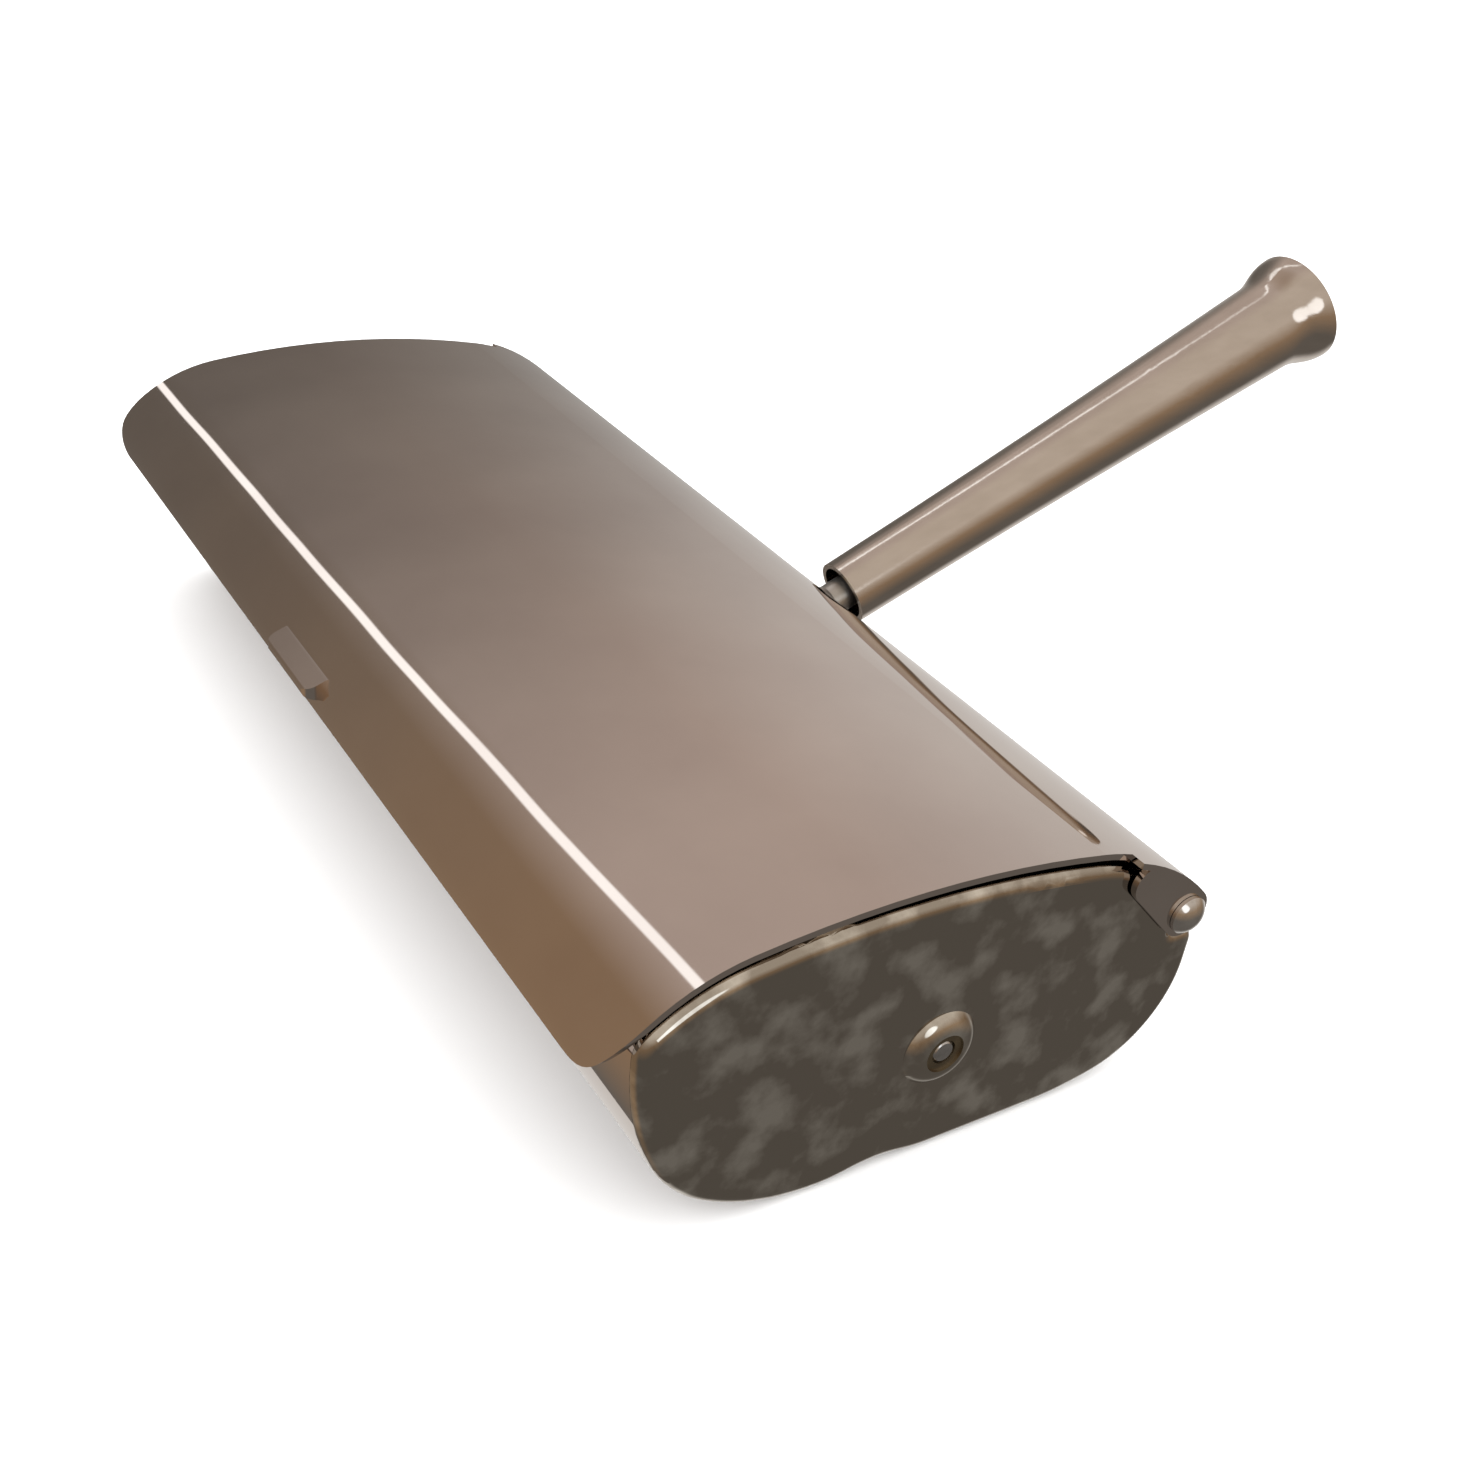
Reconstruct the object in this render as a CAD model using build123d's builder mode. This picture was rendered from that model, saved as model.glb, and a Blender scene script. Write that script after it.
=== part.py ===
from build123d import *
from math import asin, cos, degrees, radians, sin
import os

# Table crumb sweeper: a chromed case on a flat sole, a roller brush in a slot
# between two crumb troughs, a hinged lid and a hollow handle.
# X runs along the case, Y towards the handle, Z up. Z = 0 is the sole.
# Section sizes are taken from the brush axle: y towards the handle, z up.

# ---- driving dimensions, mm ----
lid_length = 165.0
case_length = 166.6
sheet = 0.8
axle_height = 15.8
axle_y = -44.57
lid_gap = 1.4

# lid outline: its start at the front lip, then (radius, turn in degrees)
lip_start = (-42.84, 9.05)
lip_heading = 92.7
lid_arcs = [(6.1, -45.8), (24.8, -38.5), (138.2, -19.3), (31.6, -34.7)]
lid_corner = 7.2

# hinge line: the lid's rear curl and the case's bead are struck from it
hinge_y = 33.9
hinge_z = 8.9
curl_radius = 3.25
curl_turn = 39.4
bead_radius = 1.85
bead_turn = 119.4
pin_radius = 1.0
pin_head = (2.5, 1.5)
pin_tail_radius = 1.6
ear_gap = 0.3
ear_root = (26.3, 15.3, 2.4)

# case outline: walls, and the lobes from the sole up as (radius, turn)
front_wall_y = -39.04
rear_wall_y = 38.44
sole_z = -axle_height
front_shoulder_z = 11.9
front_shoulder = (3.9, -52)
front_crown_turn = -29.6
front_lobe = [(28.2, 32.3), (18.06, 31.06), (35.6, 26.64)]
rear_lobe = [(43.4, 13.4), (14.8, 76.6)]
ledge_z = 4.8
ledge_corner = 2.0
waist_start_y = 1.6
waist_arc = (19.0, 11.4)
pan_front_z = 13.5
pan_rear_z = 9.6

# end plates
rim_depth = 1.6
rim_round = 1.5
flange_depth = 5.0
boss_radius = 4.9
boss_flat = 2.9
boss_height = 1.2

# brush
core_radius = 6.0
core_half = 71.0
brush_radius = 15.6
bristle_half = 68.0
bristle_rows = 6
bristle_width = 3.4
tyre_radius = 15.65
tyre_round = 0.9
wheel_radius = 12.0
wheel_width = 4.0
axle_radius = 1.5
bush_radius = 2.5
bush_flange = (4.0, 1.3)
spacer_radius = 2.4
running_gap = 0.05
end_play = 0.3

# brush slot and crumb ramps
slot_half_width = 7.0
slot_half_length = 76.2
ramp_radius = 16.3
ramp_sheet = 0.6
ramp_foot = (8.2, 13.4)
ramp_turn = (28, 66)
ramp_half_length = 74.0

# lid catch and thumb tab
catch_z = 9.6
catch_reach = 3.5
catch_gap = 0.15
catch_half_width = 5.0
catch_sheet = 0.5
catch_window = 5.4
catch_rivet_z = 4.4
catch_rivet_x = 3.0
tab_half_length = 7.4
tab_root = (-40.9, 13.75)
tab_tip = (-44.3, 12.3)
tab_thickness = 1.1
tab_fold = 0.45
tab_corner = 1.5

# handle, measured from its near rim
handle_tilt = 24.4
handle_root_y = 43.8
handle_root_z = 7.35
handle_wall = 0.8
handle_root_radius = 5.08
handle_middle = (43.3, 5.94)
flare_start = (86.6, 7.35)
flare_end = (94.0, 9.2)
flare_slopes = [(1, 0.035), (1, 0.0)]
taper_slopes = [(1, 0.012), (1, 0.035)]
cap_depth = 1.5
plug_ends = (9.0, 21.0)
spigot_radius = 2.6
bracket_sheet = 1.6
bracket_half_width = 8.0
bracket_low_z = -8.0
bracket_high_z = 2.8
bracket_rivet_x = 5.6
bracket_rivet_z = 1.5
notch_half_width = 5.6
notch_y = 32.6

# small rivets; a head is (radius, height)
rivet_shank = 0.8
rivet_head = (1.5, 0.7)
rivet_tail_radius = 1.3

os.makedirs("parts", exist_ok=True)

end_face = case_length / 2
lid_end = lid_length / 2
plate_inner = end_face - sheet
rim_start = end_face - rim_depth
pan_half = rim_start - running_gap
ear_inner = end_face + ear_gap
ear_outer = ear_inner + sheet
floor_z = sole_z + sheet
bush_start = plate_inner - bush_flange[1]
boss_face = end_face + boss_height
handle_run = Vector(0, cos(radians(handle_tilt)), sin(radians(handle_tilt)))
handle_root = Vector(0, axle_y + handle_root_y, axle_height + handle_root_z)


def section(x):
    """Cross-section plane of the case at x, with its origin on the axle."""
    return Plane(origin=(x, axle_y, axle_height), x_dir=(0, 1, 0), z_dir=(1, 0, 0))


def facing_front(y):
    """Upright plane facing the front: x along the case, y up from the axle's height."""
    return Plane(origin=(0, axle_y + y, axle_height), x_dir=(1, 0, 0), z_dir=(0, -1, 0))


def along_handle():
    """Plane along the handle: x along it from the near rim, y outwards."""
    return Plane(origin=handle_root, x_dir=handle_run, z_dir=(1, 0, 0))


def heading(angle):
    return (cos(radians(angle)), sin(radians(angle)))


def lobe_size(arcs):
    """How far a lobe reaches sideways and upwards from the sole."""
    angle, reach, rise = 0, 0, 0
    for radius, turn in arcs:
        reach += radius * (sin(radians(angle + turn)) - sin(radians(angle)))
        rise += radius * (cos(radians(angle)) - cos(radians(angle + turn)))
        angle += turn
    return reach, rise


def lid_line(inset):
    """A line inside the lid's outer face, from the front lip to the rear curl's edge."""
    start = Vector(*lip_start) + Vector(*heading(lip_heading - 90)) * inset
    radius, turn = lid_arcs[0]
    arc = JernArc(start, heading(lip_heading), radius - inset, turn)
    for radius, turn in lid_arcs[1:] + [(curl_radius, -curl_turn)]:
        arc = JernArc(arc @ 1, arc % 1, radius - inset, turn)
    return start, arc @ 1


def under_lid(inset):
    """Closed line round everything below a line inside the lid's outer face."""
    start, end = lid_line(inset)
    Polyline(end, (end.X, 0), (start.X, 0), start)


def case_line(with_waist):
    """The case's closed outer line. The end plates have a shallow waist in the sole."""
    front_reach, front_rise = lobe_size(front_lobe)
    rear_rise = lobe_size(rear_lobe)[1]
    wall = Line((front_wall_y, sole_z + front_rise), (front_wall_y, front_shoulder_z))
    crown = JernArc(wall @ 1, (0, 1), *front_shoulder)
    crown = JernArc(crown @ 1, crown % 1, lid_arcs[1][0] - lid_gap, front_crown_turn)
    for radius, turn in lid_arcs[2:]:
        crown = JernArc(crown @ 1, crown % 1, radius - lid_gap, turn)
    bead = JernArc(crown @ 1, crown % 1, bead_radius, -bead_turn)
    neck = JernArc(bead @ 1, bead % 1, 0.5, 75)
    neck = Line(neck @ 1, ((neck @ 1).X, ledge_z + 0.8))
    cove = JernArc(neck @ 1, (0, -1), 0.8, 90)
    ledge = Line(cove @ 1, (rear_wall_y - ledge_corner, (cove @ 1).Y))
    corner = JernArc(ledge @ 1, (1, 0), ledge_corner, -90)
    lobe = Line(corner @ 1, (rear_wall_y, sole_z + rear_rise))
    for radius, turn in reversed(rear_lobe):
        lobe = JernArc(lobe @ 1, lobe % 1, radius, -turn)
    sole = Line(lobe @ 1, (waist_start_y, sole_z))
    if with_waist:
        for turn in (-1, 2, -1):
            sole = JernArc(sole @ 1, sole % 1, waist_arc[0], turn * waist_arc[1])
    lobe = Line(sole @ 1, (front_wall_y + front_reach, sole_z))
    for radius, turn in front_lobe:
        lobe = JernArc(lobe @ 1, lobe % 1, radius, -turn)
    Line(lobe @ 1, wall @ 0)


def front_wall_at(z):
    """Where the front wall's outer face is at a height, and how far it leans there."""
    radius = front_lobe[-1][0]
    top_z = sole_z + lobe_size(front_lobe)[1]
    lean = asin((top_z - z) / radius)
    return front_wall_y + radius * (1 - cos(lean)), degrees(lean)


def catch_seat(x):
    """Plane on the front wall where the catch is riveted: x inwards, y up the wall."""
    y, lean = front_wall_at(catch_rivet_z)
    inwards = (0, cos(radians(lean)), sin(radians(lean)))
    return Plane(origin=(x, axle_y + y, axle_height + catch_rivet_z), x_dir=inwards, z_dir=(1, 0, 0))


def rivet_line(head_side, sheets_start, sheets_end, shank, head, tail_radius):
    """Closed half-profile of a rivet along x: a domed head, a shank and a flat tail."""
    radius, height = head
    crown = (sheets_start - head_side * height, 0)
    skirt = (sheets_start - head_side * height * 0.3, radius)
    ThreePointArc(crown, (sheets_start - head_side * height * 0.82, radius * 0.6), skirt)
    Polyline(
        skirt,
        (sheets_start, radius),
        (sheets_start, shank),
        (sheets_end, shank),
        (sheets_end, tail_radius),
        (sheets_end + head_side * height * 0.6, tail_radius),
        (sheets_end + head_side * height * 0.6, 0),
        crown,
    )


# ---- base pan: one bent sheet with the brush slot ----
with BuildPart() as base_pan:
    with BuildSketch(section(-pan_half)):
        with BuildLine():
            case_line(False)
        make_face()
    extrude(amount=2 * pan_half)
    with BuildSketch(section(-pan_half)):
        with BuildLine():
            case_line(False)
        make_face()
        offset(amount=-sheet)
    extrude(amount=2 * pan_half, mode=Mode.SUBTRACT)
    # open top: the front wall keeps its shoulder and the rear wall its bead
    with BuildSketch(section(-end_face)):
        with Locations((0, pan_front_z)):
            Rectangle(60, 40, align=(Align.MAX, Align.MIN))
        with Locations((0, pan_rear_z)):
            Rectangle(60, 40, align=(Align.MIN, Align.MIN))
    extrude(amount=2 * end_face, mode=Mode.SUBTRACT)
    with BuildSketch(Plane.XY.offset(-1)):
        with Locations((0, axle_y)):
            RectangleRounded(2 * slot_half_length, 2 * slot_half_width, 2)
    extrude(amount=6, mode=Mode.SUBTRACT)
    # window for the catch's nose, and the rivet holes
    with BuildSketch(facing_front(front_wall_y)):
        with Locations((0, catch_z)):
            Rectangle(2 * catch_half_width + 1.6, catch_window)
    extrude(amount=3, both=True, mode=Mode.SUBTRACT)
    for x in (-catch_rivet_x, catch_rivet_x):
        with BuildSketch(catch_seat(x)):
            Rectangle(6, rivet_shank, align=(Align.CENTER, Align.MIN))
        revolve(axis=Axis(catch_seat(x).origin, catch_seat(x).x_dir), mode=Mode.SUBTRACT)
    with BuildSketch(facing_front(rear_wall_y)):
        with Locations((-bracket_rivet_x, bracket_rivet_z), (bracket_rivet_x, bracket_rivet_z)):
            Circle(rivet_shank)
    extrude(amount=3, both=True, mode=Mode.SUBTRACT)
    # the bead stops short of the hinge rivets
    for side in (-1, 1):
        with BuildSketch(section(side * pan_half)):
            with Locations((hinge_y + 2, ledge_z + 0.5)):
                Rectangle(10, 12, align=(Align.CENTER, Align.MIN))
        extrude(amount=3, both=True, mode=Mode.SUBTRACT)
base_pan.part.label = "base_pan"
export_step(base_pan.part, "parts/base_pan.step")

# ---- end plates: drawn cups with a rounded rim, an axle boss and a joining flange ----
for side, name in ((-1, "end_plate_left"), (1, "end_plate_right")):
    with BuildPart() as end_plate:
        with BuildSketch(section(side * rim_start)):
            with BuildLine():
                case_line(True)
            make_face()
        extrude(amount=side * rim_depth)
        outer_face = end_plate.faces().sort_by(Axis.X)[-1 if side > 0 else 0]
        fillet(outer_face.edges(), radius=rim_round)
        with BuildSketch(section(side * rim_start)):
            with BuildLine():
                case_line(True)
            make_face()
            offset(amount=-rim_depth)
        extrude(amount=side * (rim_depth - sheet), mode=Mode.SUBTRACT)
        # joining flange inside the pan
        with BuildSketch(section(side * plate_inner)):
            with BuildLine():
                case_line(False)
            make_face()
            offset(amount=-sheet - running_gap)
        extrude(amount=-side * flange_depth)
        with BuildSketch(section(side * plate_inner)):
            with BuildLine():
                case_line(False)
            make_face()
            offset(amount=-2 * sheet)
        extrude(amount=-side * flange_depth, mode=Mode.SUBTRACT)
        with BuildSketch(section(side * rim_start)):
            with Locations((hinge_y + 2, ledge_z - 1.5)):
                Rectangle(9, 14, align=(Align.CENTER, Align.MIN))
        extrude(amount=-side * flange_depth, mode=Mode.SUBTRACT)
        # pressed boss
        with BuildSketch(facing_front(0)):
            with BuildLine():
                foot = Polyline((side * plate_inner, 0), (side * plate_inner, boss_radius))
                edge = Line(foot @ 1, (side * end_face, boss_radius))
                shoulder = (side * (boss_face - 0.35), 4.0)
                dome = ThreePointArc(edge @ 1, shoulder, (side * boss_face, boss_flat))
                Polyline(dome @ 1, (side * boss_face, 0), foot @ 0)
            make_face()
        revolve(axis=Axis((0, axle_y, axle_height), (1, 0, 0)))
        with BuildSketch(section(side * (plate_inner - sheet))):
            Circle(bush_radius)
            with Locations((hinge_y, hinge_z)):
                Circle(pin_radius)
        extrude(amount=side * 5, mode=Mode.SUBTRACT)
    end_plate.part.label = name
    export_step(end_plate.part, "parts/" + name + ".step")

# ---- crumb ramps: curved strips each side of the brush, spot-welded to the pan ----
for side, name in ((-1, "front_crumb_ramp"), (1, "rear_crumb_ramp")):
    with BuildPart() as crumb_ramp:
        with BuildSketch(section(-ramp_half_length)):
            with BuildLine():
                sweep_start = -90 + side * ramp_turn[0]
                sweep_size = side * (ramp_turn[1] - ramp_turn[0])
                inner = CenterArc((0, 0), ramp_radius, sweep_start, sweep_size)
                outer = CenterArc((0, 0), ramp_radius + ramp_sheet, sweep_start, sweep_size)
                Line(inner @ 0, outer @ 0)
                Line(inner @ 1, outer @ 1)
            make_face()
            with Locations((side * (ramp_foot[0] + ramp_foot[1]) / 2, floor_z)):
                Rectangle(ramp_foot[1] - ramp_foot[0], ramp_sheet, align=(Align.CENTER, Align.MIN))
        extrude(amount=2 * ramp_half_length)
    crumb_ramp.part.label = name
    export_step(crumb_ramp.part, "parts/" + name + ".step")

# ---- lid catch: a spring strip inside the front wall, its nose through the window ----
strip_middle = sheet + catch_gap + catch_sheet / 2
leg_foot = catch_seat(0).from_local_coords((strip_middle, -1.8))
leg_head = catch_seat(0).from_local_coords((strip_middle, 2.9))
with BuildPart() as catch_spring:
    with BuildSketch(section(-catch_half_width)):
        with BuildLine():
            FilletPolyline(
                (leg_foot.Y - axle_y, leg_foot.Z - axle_height),
                (leg_head.Y - axle_y, leg_head.Z - axle_height),
                (front_wall_y - catch_reach, catch_z),
                (front_wall_y + sheet + 0.75, catch_z + 2.4),
                radius=0.7,
            )
        trace(line_width=catch_sheet)
    extrude(amount=2 * catch_half_width)
    for x in (-catch_rivet_x, catch_rivet_x):
        with BuildSketch(catch_seat(x)):
            Rectangle(6, rivet_shank, align=(Align.CENTER, Align.MIN))
        revolve(axis=Axis(catch_seat(x).origin, catch_seat(x).x_dir), mode=Mode.SUBTRACT)
catch_spring.part.label = "catch_spring"
export_step(catch_spring.part, "parts/catch_spring.step")

with BuildPart() as catch_rivets:
    for x in (-catch_rivet_x, catch_rivet_x):
        with BuildSketch(catch_seat(x)):
            with BuildLine():
                sheets_end = strip_middle + catch_sheet / 2
                rivet_line(1, 0, sheets_end, rivet_shank, rivet_head, rivet_tail_radius)
            make_face()
        revolve(axis=Axis(catch_seat(x).origin, catch_seat(x).x_dir))
catch_rivets.part.label = "catch_rivets"
export_step(catch_rivets.part, "parts/catch_rivets.step")

# ---- lid: one curved sheet with two ears, a thumb tab and a notch for the handle ----
with BuildPart() as lid:
    # thumb tab: a ledge on the front face, trimmed to the lid's inner face
    with BuildSketch(section(-tab_half_length)):
        with BuildLine():
            FilletPolyline(
                (tab_root[0], tab_root[1] - tab_thickness * 3),
                tab_root,
                tab_tip,
                (tab_tip[0], tab_tip[1] - tab_thickness),
                (tab_root[0], tab_root[1] - tab_thickness * 3),
                radius=tab_fold,
                close=False,
            )
        make_face()
    extrude(amount=2 * tab_half_length)
    with BuildSketch(section(-2 * tab_half_length)):
        with BuildLine():
            under_lid(sheet)
        make_face()
    extrude(amount=4 * tab_half_length, mode=Mode.SUBTRACT)
    for side in (-1, 1):
        with BuildSketch(Plane.XY.offset(axle_height)):
            with Locations((side * (tab_half_length - tab_corner), axle_y + tab_tip[0] + tab_corner)):
                outward = Align.MIN if side > 0 else Align.MAX
                Rectangle(2 * tab_corner, 2 * tab_corner, align=(outward, Align.MAX))
                Circle(tab_corner, mode=Mode.SUBTRACT)
        extrude(amount=20, mode=Mode.SUBTRACT)
    # the curved sheet
    with BuildSketch(section(-lid_end)):
        with BuildLine():
            lid_line(sheet / 2)
        trace(line_width=sheet)
    extrude(amount=lid_length)
    # rounded corners at the ends of the front lip
    for side in (-1, 1):
        with BuildSketch(facing_front(0)):
            with Locations((side * (lid_end - lid_corner / 2), lip_start[1] + lid_corner / 2)):
                Rectangle(lid_corner, lid_corner)
            with Locations((side * (lid_end - lid_corner), lip_start[1] + lid_corner)):
                Circle(lid_corner, mode=Mode.SUBTRACT)
        extrude(amount=60, mode=Mode.SUBTRACT)
    # notch for the handle's root
    with BuildSketch(Plane.XY.offset(axle_height)):
        with Locations((0, axle_y + notch_y)):
            RectangleRounded(2 * notch_half_width, 20, 2, align=(Align.CENTER, Align.MIN))
    extrude(amount=30, mode=Mode.SUBTRACT)
    # ears folded down over the end plates
    for side in (-1, 1):
        with BuildSketch(section(side * lid_end)):
            with BuildLine():
                lid_line(sheet / 2)
            trace(line_width=sheet)
            with Locations((ear_root[0] - ear_root[2], 0)):
                Rectangle(40, 40, align=(Align.MIN, Align.MIN), mode=Mode.INTERSECT)
        extrude(amount=side * (ear_outer - lid_end))
        with BuildSketch(section(side * ear_inner)):
            with Locations((hinge_y, hinge_z)):
                Circle(curl_radius)
            with Locations((ear_root[0], ear_root[1])):
                Circle(ear_root[2])
            make_hull()
            with Locations((hinge_y, hinge_z)):
                Circle(pin_radius + running_gap, mode=Mode.SUBTRACT)
        extrude(amount=side * sheet)
lid.part.label = "lid"
export_step(lid.part, "parts/lid.step")

# ---- hinge rivets, fixed in the end plates, and the washers under their tails ----
hinge_centre = Vector(0, axle_y + hinge_y, axle_height + hinge_z)
with BuildPart() as hinge_rivets:
    for side in (-1, 1):
        with BuildSketch(Plane(origin=hinge_centre, x_dir=(1, 0, 0), z_dir=(0, -1, 0))):
            with BuildLine():
                rivet_line(
                    -side,
                    side * (ear_outer + running_gap),
                    side * (rim_start - sheet),
                    pin_radius,
                    pin_head,
                    pin_tail_radius,
                )
            make_face()
        revolve(axis=Axis(hinge_centre, (1, 0, 0)))
hinge_rivets.part.label = "hinge_rivets"
export_step(hinge_rivets.part, "parts/hinge_rivets.step")

with BuildPart() as hinge_washers:
    for side in (-1, 1):
        with BuildSketch(section(side * rim_start)):
            with Locations((hinge_y, hinge_z)):
                Circle(bead_radius)
                Circle(pin_radius, mode=Mode.SUBTRACT)
        extrude(amount=-side * sheet)
hinge_washers.part.label = "hinge_washers"
export_step(hinge_washers.part, "parts/hinge_washers.step")

# ---- brush: axle, core, bristle rows, wheels, tyres and spacers turn together ----
with BuildPart() as brush_axle:
    with BuildSketch(section(-(boss_face - end_play))):
        Circle(axle_radius)
    extrude(amount=2 * (boss_face - end_play))
    chamfer(brush_axle.edges().filter_by(GeomType.CIRCLE), length=0.3)
brush_axle.part.label = "brush_axle"
export_step(brush_axle.part, "parts/brush_axle.step")

with BuildPart() as brush_core:
    with BuildSketch(section(-core_half)):
        Circle(core_radius)
        Circle(axle_radius, mode=Mode.SUBTRACT)
    extrude(amount=2 * core_half)
brush_core.part.label = "brush_core"
export_step(brush_core.part, "parts/brush_core.step")

with BuildPart() as bristle_strips:
    with BuildSketch(section(-bristle_half)):
        with PolarLocations(0, bristle_rows):
            Rectangle(brush_radius + 1, bristle_width, align=(Align.MIN, Align.CENTER))
        Circle(brush_radius, mode=Mode.INTERSECT)
        Circle(core_radius, mode=Mode.SUBTRACT)
    extrude(amount=2 * bristle_half)
bristle_strips.part.label = "bristle_strips"
export_step(bristle_strips.part, "parts/bristle_strips.step")

for side, end in ((-1, "left"), (1, "right")):
    with BuildPart() as drive_wheel:
        with BuildSketch(section(side * core_half)):
            Circle(wheel_radius)
            Circle(axle_radius, mode=Mode.SUBTRACT)
        extrude(amount=side * wheel_width)
    drive_wheel.part.label = "drive_wheel_" + end
    export_step(drive_wheel.part, "parts/drive_wheel_" + end + ".step")

    with BuildPart() as drive_tyre:
        with BuildSketch(section(side * core_half)):
            Circle(tyre_radius)
            Circle(wheel_radius, mode=Mode.SUBTRACT)
        extrude(amount=side * wheel_width)
        circles = drive_tyre.edges().filter_by(GeomType.CIRCLE)
        rims = circles.filter_by(lambda edge: edge.radius > wheel_radius + 1)
        fillet(rims, radius=tyre_round)
    drive_tyre.part.label = "drive_tyre_" + end
    export_step(drive_tyre.part, "parts/drive_tyre_" + end + ".step")

    with BuildPart() as axle_bush:
        with BuildSketch(section(side * bush_start)):
            Circle(bush_flange[0])
        extrude(amount=side * bush_flange[1])
        with BuildSketch(section(side * plate_inner)):
            Circle(bush_radius)
        extrude(amount=side * (boss_face - plate_inner - end_play))
        with BuildSketch(section(side * bush_start)):
            Circle(axle_radius + running_gap)
        extrude(amount=side * 6, mode=Mode.SUBTRACT)
    axle_bush.part.label = "axle_bush_" + end
    export_step(axle_bush.part, "parts/axle_bush_" + end + ".step")

with BuildPart() as axle_spacers:
    for side in (-1, 1):
        with BuildSketch(section(side * (core_half + wheel_width))):
            Circle(spacer_radius)
            Circle(axle_radius, mode=Mode.SUBTRACT)
        extrude(amount=side * (bush_start - end_play - core_half - wheel_width))
axle_spacers.part.label = "axle_spacers"
export_step(axle_spacers.part, "parts/axle_spacers.step")

# ---- handle bracket: a foot on the rear wall and a spigot up into the handle ----
with BuildPart() as handle_bracket:
    with BuildSketch(section(-bracket_half_width)):
        with BuildLine():
            case_line(False)
        make_face()
        offset(amount=bracket_sheet)
        with Locations((30, bracket_low_z)):
            Rectangle(20, bracket_high_z - bracket_low_z, align=(Align.MIN, Align.MIN), mode=Mode.INTERSECT)
    extrude(amount=2 * bracket_half_width)
    with BuildSketch(along_handle()):
        with BuildLine():
            Polyline(
                (-9, 0),
                (-9, 3.6),
                (-5, 3.6),
                (-2.5, spigot_radius),
                (plug_ends[1] + 0.5, spigot_radius),
                (plug_ends[1] + 0.5, 0),
                close=True,
            )
        make_face()
    revolve(axis=Axis(handle_root, handle_run))
    with BuildSketch(section(-2 * bracket_half_width)):
        with BuildLine():
            case_line(False)
        make_face()
    extrude(amount=4 * bracket_half_width, mode=Mode.SUBTRACT)
    with BuildSketch(facing_front(rear_wall_y)):
        with Locations((-bracket_rivet_x, bracket_rivet_z), (bracket_rivet_x, bracket_rivet_z)):
            Circle(rivet_shank)
    extrude(amount=5, both=True, mode=Mode.SUBTRACT)
handle_bracket.part.label = "handle_bracket"
export_step(handle_bracket.part, "parts/handle_bracket.step")

with BuildPart() as bracket_rivets:
    for x in (-bracket_rivet_x, bracket_rivet_x):
        centre = Vector(x, axle_y, axle_height + bracket_rivet_z)
        with BuildSketch(Plane(origin=centre, x_dir=(0, 1, 0), z_dir=(1, 0, 0))):
            with BuildLine():
                sheets_start = rear_wall_y + bracket_sheet
                sheets_end = rear_wall_y - sheet
                rivet_line(-1, sheets_start, sheets_end, rivet_shank, rivet_head, rivet_tail_radius)
            make_face()
        revolve(axis=Axis(centre, (0, 1, 0)))
bracket_rivets.part.label = "bracket_rivets"
export_step(bracket_rivets.part, "parts/bracket_rivets.step")

# ---- handle: a spun tube open at the root, its plug and its domed end cap ----
with BuildPart() as handle_tube:
    with BuildSketch(along_handle()):
        with BuildLine():
            for inset in (0, handle_wall):
                root, middle, end, rim = [
                    (x, radius - inset)
                    for x, radius in ((0, handle_root_radius), handle_middle, flare_start, flare_end)
                ]
                taper = Spline(root, middle, end, tangents=taper_slopes)
                Spline(end, rim, tangents=flare_slopes)
            Line((0, handle_root_radius), (0, handle_root_radius - handle_wall))
            Line(flare_end, (flare_end[0], flare_end[1] - handle_wall))
        make_face()
    revolve(axis=Axis(handle_root, handle_run))
handle_tube.part.label = "handle_tube"
export_step(handle_tube.part, "parts/handle_tube.step")

with BuildPart() as handle_cap:
    with BuildSketch(along_handle()):
        with BuildLine():
            centre = (flare_end[0], 0)
            outer = EllipticalCenterArc(centre, cap_depth, flare_end[1], 0, arc_size=90)
            inner = EllipticalCenterArc(centre, cap_depth / 2, flare_end[1] - handle_wall, 0, arc_size=90)
            Line(outer @ 0, inner @ 0)
            Line(outer @ 1, inner @ 1)
        make_face()
    revolve(axis=Axis(handle_root, handle_run))
handle_cap.part.label = "handle_cap"
export_step(handle_cap.part, "parts/handle_cap.step")

plug_radii = [handle_root_radius - handle_wall + 0.0145 * end - 0.03 for end in plug_ends]
with BuildPart() as handle_plug:
    with BuildSketch(along_handle()):
        with BuildLine():
            Polyline(
                (plug_ends[0], spigot_radius),
                (plug_ends[0], plug_radii[0]),
                (plug_ends[1], plug_radii[1]),
                (plug_ends[1], spigot_radius),
                close=True,
            )
        make_face()
    revolve(axis=Axis(handle_root, handle_run))
handle_plug.part.label = "handle_plug"
export_step(handle_plug.part, "parts/handle_plug.step")
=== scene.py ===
import math
import random

import bmesh
import bpy
from mathutils import Matrix, Vector


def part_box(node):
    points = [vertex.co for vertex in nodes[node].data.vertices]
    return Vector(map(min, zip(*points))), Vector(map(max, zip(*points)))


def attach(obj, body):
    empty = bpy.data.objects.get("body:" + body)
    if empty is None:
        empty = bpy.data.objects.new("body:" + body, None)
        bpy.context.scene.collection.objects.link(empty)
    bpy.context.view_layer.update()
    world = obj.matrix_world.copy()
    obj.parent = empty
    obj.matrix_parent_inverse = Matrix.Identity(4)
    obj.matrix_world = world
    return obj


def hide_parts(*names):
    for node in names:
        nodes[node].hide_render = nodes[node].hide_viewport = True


# Table crumb sweeper in chromed sheet, on a pale floor. Metres, in the CAD's frame.

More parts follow.
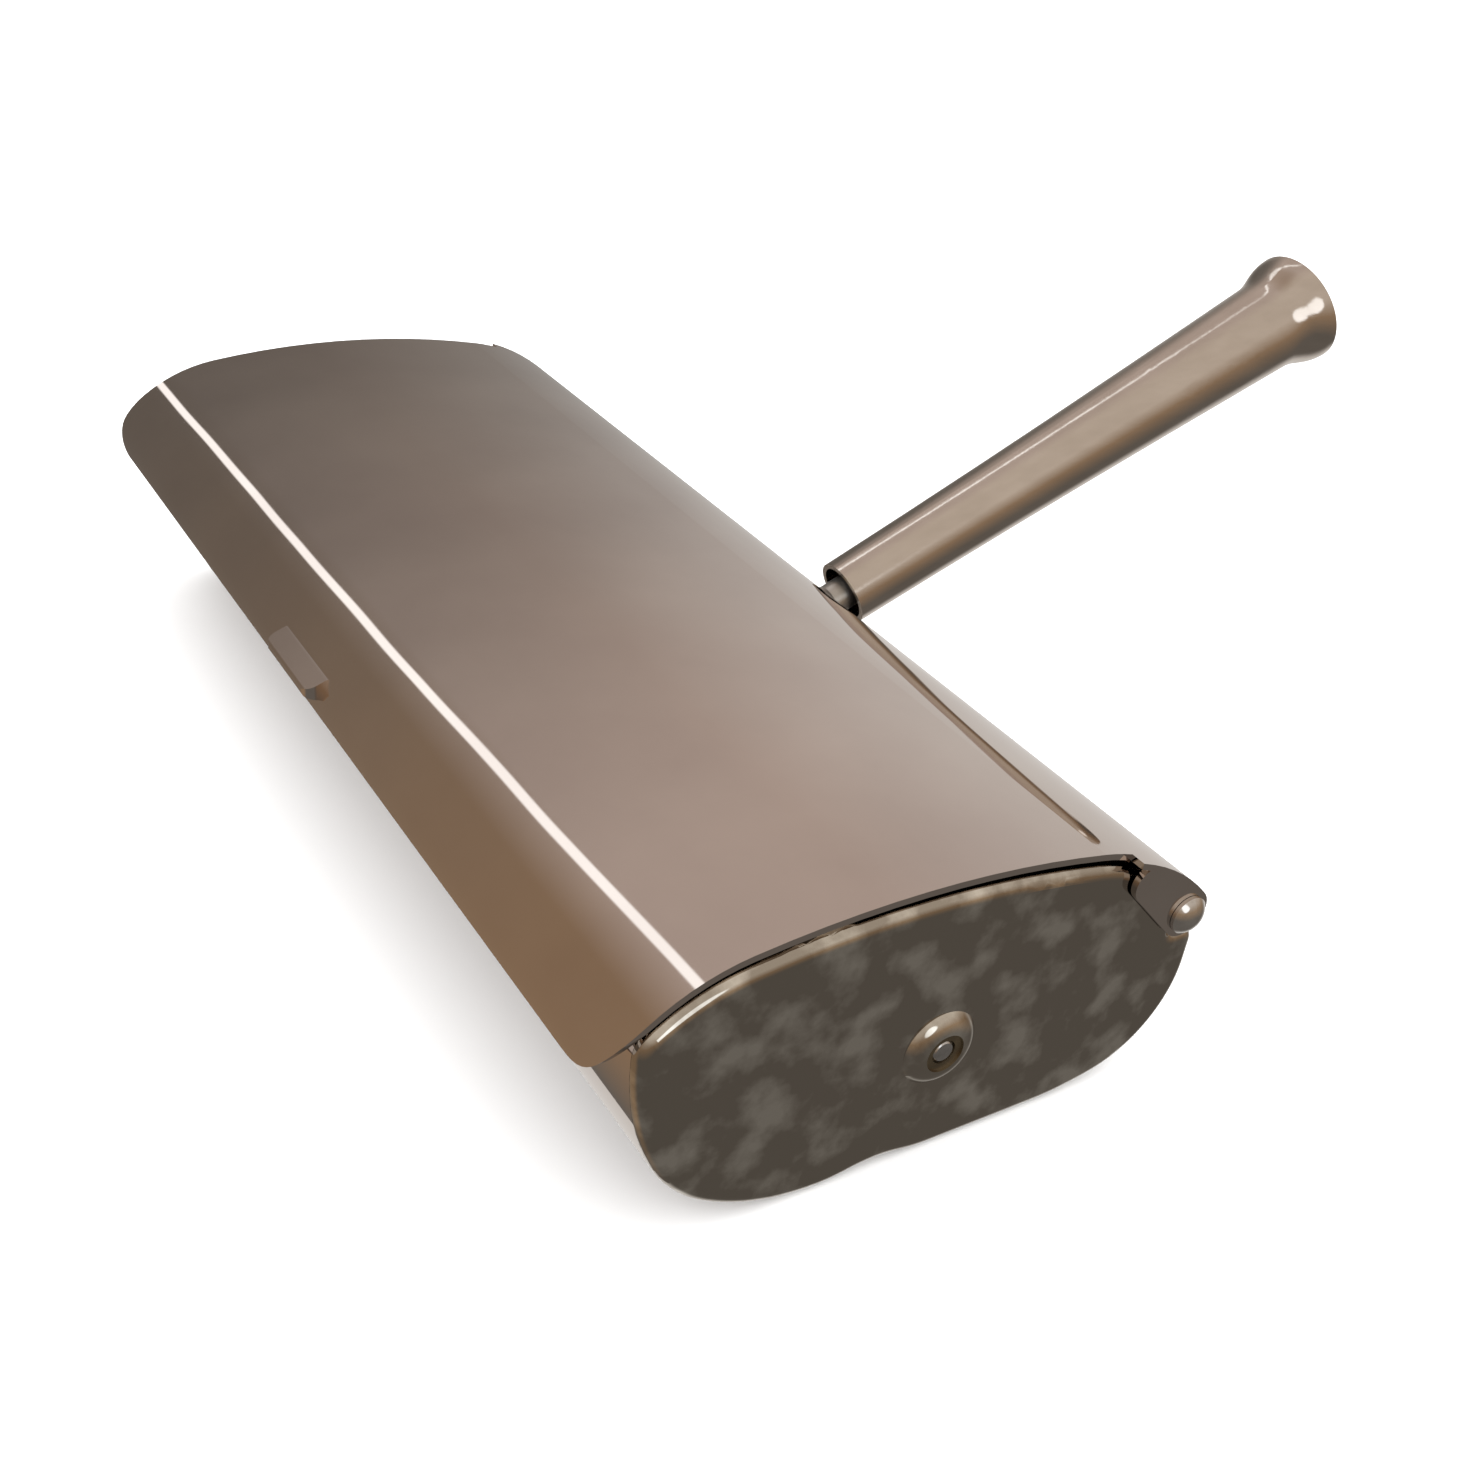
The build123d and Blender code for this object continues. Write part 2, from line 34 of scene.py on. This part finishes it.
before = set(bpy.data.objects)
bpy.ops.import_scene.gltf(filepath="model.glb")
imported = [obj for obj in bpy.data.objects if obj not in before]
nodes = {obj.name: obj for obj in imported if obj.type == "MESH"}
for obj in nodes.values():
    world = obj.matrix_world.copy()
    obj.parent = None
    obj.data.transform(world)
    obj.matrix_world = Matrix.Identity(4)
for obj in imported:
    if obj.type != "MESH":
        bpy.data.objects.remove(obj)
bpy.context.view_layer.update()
MM = 0.001

# the camera, worked out from the case's straight edges
SENSOR_MM = 36.0
LENS_MM = 42.89
CAMERA_PLACE = Vector((186.45, -152.63, 142.0)) * MM
CAMERA_FORWARD = Vector((-0.6943, 0.4986, -0.519))
CAMERA_RIGHT = Vector((0.522, 0.8454, 0.1137))
FLOOR_REACH = 6.0


# ---- shader helpers ----
class Tree:
    """Short forms for building one node tree."""

    def __init__(self, tree):
        self.tree = tree
        self.tree.nodes.clear()

    def add(self, kind, **inputs):
        node = self.tree.nodes.new(kind)
        for key, value in inputs.items():
            self.set(node.inputs[key.replace("_", " ")], value)
        return node

    def set(self, socket, value):
        if isinstance(value, bpy.types.NodeSocket):
            self.tree.links.new(value, socket)
        else:
            socket.default_value = value

    def math(self, operation, *values):
        node = self.tree.nodes.new("ShaderNodeMath")
        node.operation = operation
        for socket, value in zip(node.inputs, values):
            self.set(socket, value)
        return node.outputs[0]

    def ramp(self, factor, stops):
        node = self.tree.nodes.new("ShaderNodeValToRGB")
        while len(node.color_ramp.elements) < len(stops):
            node.color_ramp.elements.new(1.0)
        for element, (place, colour) in zip(node.color_ramp.elements, stops):
            element.position = place
            element.color = (*colour, 1.0)
        self.set(node.inputs[0], factor)
        return node.outputs["Color"]

    def level(self, factor, low, high):
        """A grey value running from low to high as the factor runs from 0 to 1."""
        node = self.tree.nodes.new("ShaderNodeMapRange")
        self.set(node.inputs["Value"], factor)
        node.inputs["To Min"].default_value = low
        node.inputs["To Max"].default_value = high
        return node.outputs["Result"]

    def mix(self, factor, first, second):
        node = self.tree.nodes.new("ShaderNodeMix")
        node.data_type = "RGBA"
        self.set(node.inputs["Factor"], factor)
        for socket, value in ((node.inputs["A"], first), (node.inputs["B"], second)):
            colours = [s for s in node.inputs if s.name == socket.name and s.type == "RGBA"]
            self.set(colours[0], value if isinstance(value, bpy.types.NodeSocket) else (*value, 1.0))
        return [s for s in node.outputs if s.type == "RGBA"][0]

    def place(self, stretch=(1, 1, 1)):
        where = self.add("ShaderNodeTexCoord")
        mapping = self.add("ShaderNodeMapping", Vector=where.outputs["Object"], Scale=stretch)
        return mapping.outputs[0]

    def noise(self, scale, detail=3.0, stretch=(1, 1, 1)):
        node = self.add("ShaderNodeTexNoise", Vector=self.place(stretch), Scale=scale, Detail=detail)
        return node.outputs["Factor" if "Factor" in node.outputs else "Fac"]


def metal(
    name,
    dark,
    bright,
    rough,
    stretch=(1, 1, 1),
    scale=60.0,
    bump=0.0,
    bump_scale=900.0,
    edge=(0.3, 0.7),
    wave=(30.0, 0.0),
):
    """Plated or bare metal: its colour, polish and flatness vary from place to place.
    edge is where the noise turns from dark to bright, and wave is (scale, depth in metres)."""
    material = bpy.data.materials.new(name)
    material.use_nodes = True
    t = Tree(material.node_tree)
    cloud = t.noise(scale, 5.0, stretch)
    fine = t.noise(bump_scale, 2.0, stretch)
    colour = t.ramp(cloud, [(edge[0], dark), (edge[1], bright)])
    shader = t.add("ShaderNodeBsdfPrincipled", Metallic=1.0, Base_Color=colour)
    t.set(shader.inputs["Roughness"], t.level(fine, rough[0], rough[1]))
    flatness = t.add("ShaderNodeBump", Strength=1.0, Distance=wave[1], Height=t.noise(wave[0], 1.0))
    relief = t.add("ShaderNodeBump", Strength=bump, Distance=0.00005, Height=fine, Normal=flatness.outputs[0])
    t.set(shader.inputs["Normal"], relief.outputs[0])
    out = t.add("ShaderNodeOutputMaterial")
    t.set(out.inputs["Surface"], shader.outputs[0])
    return material


def matter(name, dark, bright, rough, stretch=(1, 1, 1), scale=80.0, bump=0.3, bump_scale=1500.0):
    """Wood, rubber or bristle: a grained dull surface."""
    material = bpy.data.materials.new(name)
    material.use_nodes = True
    t = Tree(material.node_tree)
    cloud = t.noise(scale, 6.0, stretch)
    fine = t.noise(bump_scale, 3.0, stretch)
    colour = t.ramp(cloud, [(0.35, dark), (0.65, bright)])
    shader = t.add("ShaderNodeBsdfPrincipled", Base_Color=colour)
    t.set(shader.inputs["Roughness"], t.level(fine, rough[0], rough[1]))
    relief = t.add("ShaderNodeBump", Strength=bump, Distance=0.0001, Height=fine)
    t.set(shader.inputs["Normal"], relief.outputs[0])
    out = t.add("ShaderNodeOutputMaterial")
    t.set(out.inputs["Surface"], shader.outputs[0])
    return material


finish = {
    "chrome_shell": metal(
        "chrome_shell", (0.61, 0.545, 0.51), (0.71, 0.645, 0.60), (0.012, 0.06), scale=28.0, wave=(26.0, 0.00022)
    ),
    "chrome_plate": metal(
        "chrome_plate", (0.46, 0.425, 0.375), (0.84, 0.82, 0.76), (0.03, 0.09), scale=170.0, edge=(0.47, 0.66),
        wave=(90.0, 0.00012),
    ),
    "satin_handle": metal(
        "satin_handle", (0.63, 0.57, 0.515), (0.69, 0.63, 0.575), (0.09, 0.14), (6, 1, 6), 60.0, 0.12, 500.0
    ),
    "bare_steel": metal("bare_steel", (0.42, 0.40, 0.37), (0.58, 0.56, 0.53), (0.25, 0.4), (1, 5, 5), 90.0, 0.2),
    "spring_steel": metal("spring_steel", (0.36, 0.35, 0.35), (0.52, 0.51, 0.5), (0.2, 0.32), (3, 1, 1), 200.0, 0.15),
    "bright_rivets": metal("bright_rivets", (0.62, 0.6, 0.58), (0.8, 0.78, 0.75), (0.08, 0.16), scale=400.0),
    "brass_bush": metal("brass_bush", (0.15, 0.12, 0.08), (0.3, 0.24, 0.15), (0.3, 0.45), scale=260.0, bump=0.1),
    "steel_axle": metal("steel_axle", (0.5, 0.5, 0.5), (0.66, 0.66, 0.66), (0.14, 0.24), (1, 6, 6), 160.0, 0.1),
    "turned_wood": matter("turned_wood", (0.25, 0.12, 0.05), (0.45, 0.25, 0.11), (0.5, 0.7), (0.12, 1, 1), 300.0),
    "dark_bristle": matter("dark_bristle", (0.012, 0.01, 0.009), (0.045, 0.034, 0.026), (0.4, 0.6), scale=700.0),
    "wheel_wood": matter("wheel_wood", (0.3, 0.16, 0.07), (0.5, 0.3, 0.14), (0.45, 0.65), (1, 1, 0.2), 260.0),
    "black_rubber": matter("black_rubber", (0.012, 0.012, 0.012), (0.035, 0.034, 0.032), (0.6, 0.85), scale=350.0),
}

WORN_BY = {
    "chrome_shell": ["base_pan", "lid"],
    "chrome_plate": ["end_plate_left", "end_plate_right"],
    "satin_handle": ["handle_tube", "handle_cap"],
    "bare_steel": ["front_crumb_ramp", "rear_crumb_ramp", "handle_bracket"],
    "spring_steel": ["catch_spring"],
    "bright_rivets": ["catch_rivets", "bracket_rivets", "hinge_rivets", "hinge_washers", "axle_spacers"],
    "brass_bush": ["axle_bush_left", "axle_bush_right"],
    "steel_axle": ["brush_axle"],
    "turned_wood": ["brush_core", "handle_plug"],
    "dark_bristle": ["bristle_strips"],
    "wheel_wood": ["drive_wheel_left", "drive_wheel_right"],
    "black_rubber": ["drive_tyre_left", "drive_tyre_right"],
}
for slot, wearers in WORN_BY.items():
    for node in wearers:
        mesh = nodes[node].data
        mesh.materials.clear()
        mesh.materials.append(finish[slot])

# ---- brush: tufts of fine bristles in six double rows ----
AXLE = (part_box("brush_axle")[0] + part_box("brush_axle")[1]) / 2
CORE_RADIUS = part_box("brush_core")[1].z - AXLE.z
TIP_RADIUS = (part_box("bristle_strips")[1].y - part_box("bristle_strips")[0].y) / 2
ROW_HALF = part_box("bristle_strips")[1].x
BRISTLE_ROWS = 6
TUFT_PITCH = 4.0 * MM
FIBRES = 10
FIBRE_RADII = (0.13 * MM, 0.08 * MM)
chance = random.Random(11)


def fibre(mesh, root, tip):
    """One thin tapering bristle with a three-sided section."""
    run = (tip - root).normalized()
    side = run.cross(Vector((1, 0, 0))).normalized()
    other = run.cross(side)
    rings = []
    for centre, radius in zip((root, tip), FIBRE_RADII):
        offsets = [(side * math.cos(a) + other * math.sin(a)) * radius for a in (0.0, 2.1, 4.2)]
        rings.append([mesh.verts.new(centre + offset) for offset in offsets])
    for k in range(3):
        following = (k + 1) % 3
        mesh.faces.new((rings[0][k], rings[0][following], rings[1][following], rings[1][k]))
    mesh.faces.new(reversed(rings[0]))
    mesh.faces.new(rings[1])


tufts = bmesh.new()
for row in range(BRISTLE_ROWS):
    facing = 2 * math.pi * row / BRISTLE_ROWS
    outward = Vector((0, math.cos(facing), math.sin(facing)))
    sideways = Vector((0, -outward.z, outward.y))
    count = int(2 * (ROW_HALF - 1.5 * MM) / TUFT_PITCH)
    for line in (-1, 1):
        for place in range(count):
            x = (place - (count - 1) / 2) * TUFT_PITCH + line * TUFT_PITCH / 4
            for _ in range(FIBRES):
                spread_x = chance.uniform(-1, 1)
                spread_s = chance.uniform(-1, 1)
                root = AXLE + outward * (CORE_RADIUS - 0.2 * MM) + sideways * (line * 0.8 + spread_s * 0.5) * MM
                tip = AXLE + outward * (TIP_RADIUS - chance.uniform(0.15, 0.5) * MM)
                tip += sideways * (line * 0.85 + spread_s * 0.75) * MM
                root.x += x + spread_x * 0.55 * MM
                tip.x += x + spread_x * 1.1 * MM
                fibre(tufts, root, tip)
tuft_mesh = bpy.data.meshes.new("bristle_tufts")
tufts.to_mesh(tuft_mesh)
tufts.free()
tuft_mesh.materials.append(finish["dark_bristle"])
bristles = bpy.data.objects.new("bristle_tufts", tuft_mesh)
bpy.context.scene.collection.objects.link(bristles)
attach(bristles, "brush")
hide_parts("bristle_strips")

# ---- studio: soft white light on everything, and a simple warm room in reflections ----
SHADE = (0.15, 0.135, 0.12)
TAN = (0.32, 0.22, 0.14)
WARM_GREY = (0.55, 0.46, 0.41)
PALE = (0.7, 0.67, 0.64)
BEIGE = (0.62, 0.54, 0.46)
LIGHT = (1.5, 1.5, 1.5)
WINDOW = Vector((0.9, -0.1, 0.35)).normalized()

# degrees round the case: 0 is the front, 90 up and 180 the back
ROOM = [(-90, SHADE), (-60, TAN), (50, TAN), (80, WARM_GREY), (130, WARM_GREY), (170, PALE), (205, PALE)]
# height of the direction at the near end: 0 is down and 1 is up
END_ROOM = [(0.25, SHADE), (0.5, TAN), (0.75, BEIGE)]

world = bpy.data.worlds.new("studio")
bpy.context.scene.world = world
world.use_nodes = True
w = Tree(world.node_tree)
ray = w.add("ShaderNodeTexCoord").outputs["Generated"]
along, across, height = w.add("ShaderNodeSeparateXYZ", Vector=ray).outputs
angle = w.math("MULTIPLY_ADD", w.math("ARCTAN2", across, height), 180 / math.pi, 90.0)
turn = w.math("MULTIPLY_ADD", angle, 1 / 360, 0.25)


def between(value, start, end):
    """0 at start, 1 at end, eased."""
    node = w.add("ShaderNodeMapRange", Value=value)
    node.interpolation_type = "SMOOTHSTEP"
    node.inputs["From Min"].default_value = start
    node.inputs["From Max"].default_value = end
    return node.outputs["Result"]


# the room is dimmer towards the far end
room = w.ramp(turn, [(degrees / 360 + 0.25, colour) for degrees, colour in ROOM])
room = w.mix(between(along, -0.65, -0.95), room, SHADE)
end_room = w.ramp(w.math("MULTIPLY_ADD", height, 0.5, 0.5), END_ROOM)
room = w.mix(between(along, -0.25, 0.25), room, end_room)
# one straight strip light over the front edge, and one soft window
strip_middle = w.math("MULTIPLY_ADD", along, 60.0, 117.0)
from_strip = w.math("ABSOLUTE", w.math("SUBTRACT", angle, strip_middle))
in_strip = w.math("MULTIPLY", between(from_strip, 3.5, 2.0), between(along, -0.25, -0.4))
room = w.mix(in_strip, room, LIGHT)
toward = w.add("ShaderNodeVectorMath", Vector=ray)
toward.operation = "DOT_PRODUCT"
toward.inputs[1].default_value = WINDOW
room = w.mix(between(toward.outputs["Value"], 0.96, 0.98), room, LIGHT)

glossy = w.add("ShaderNodeLightPath").outputs["Is Glossy Ray"]
sky = w.add("ShaderNodeBackground", Color=(1, 1, 1, 1), Strength=2.1)
reflected = w.add("ShaderNodeBackground", Color=room, Strength=1.0)
both = w.add("ShaderNodeMixShader")
w.set(both.inputs[0], glossy)
w.set(both.inputs[1], sky.outputs[0])
w.set(both.inputs[2], reflected.outputs[0])
w.set(w.add("ShaderNodeOutputWorld").inputs["Surface"], both.outputs[0])

floor_mesh = bpy.data.meshes.new("floor")
corners = [(x * FLOOR_REACH, y * FLOOR_REACH, 0) for x, y in ((-1, -1), (1, -1), (1, 1), (-1, 1))]
floor_mesh.from_pydata(corners, [], [(0, 1, 2, 3)])
floor = bpy.data.objects.new("floor", floor_mesh)
bpy.context.scene.collection.objects.link(floor)
paint = matter("pale_floor", (0.9, 0.9, 0.9), (0.92, 0.92, 0.92), (0.9, 0.95), scale=4.0, bump=0.0)
floor_mesh.materials.append(paint)
# polished metal shows the room and not this floor
floor.visible_glossy = False

# ---- camera ----
camera = bpy.data.objects.new("camera", bpy.data.cameras.new("camera"))
bpy.context.scene.collection.objects.link(camera)
camera.data.sensor_width = SENSOR_MM
camera.data.lens = LENS_MM
camera.data.clip_start = 0.01
forward = CAMERA_FORWARD.normalized()
right = (CAMERA_RIGHT - forward * CAMERA_RIGHT.dot(forward)).normalized()
up = right.cross(forward)
turned = Matrix((right, up, -forward)).transposed().to_4x4()
camera.matrix_world = Matrix.Translation(CAMERA_PLACE) @ turned
bpy.context.scene.camera = camera
bpy.context.scene.view_settings.view_transform = "Standard"
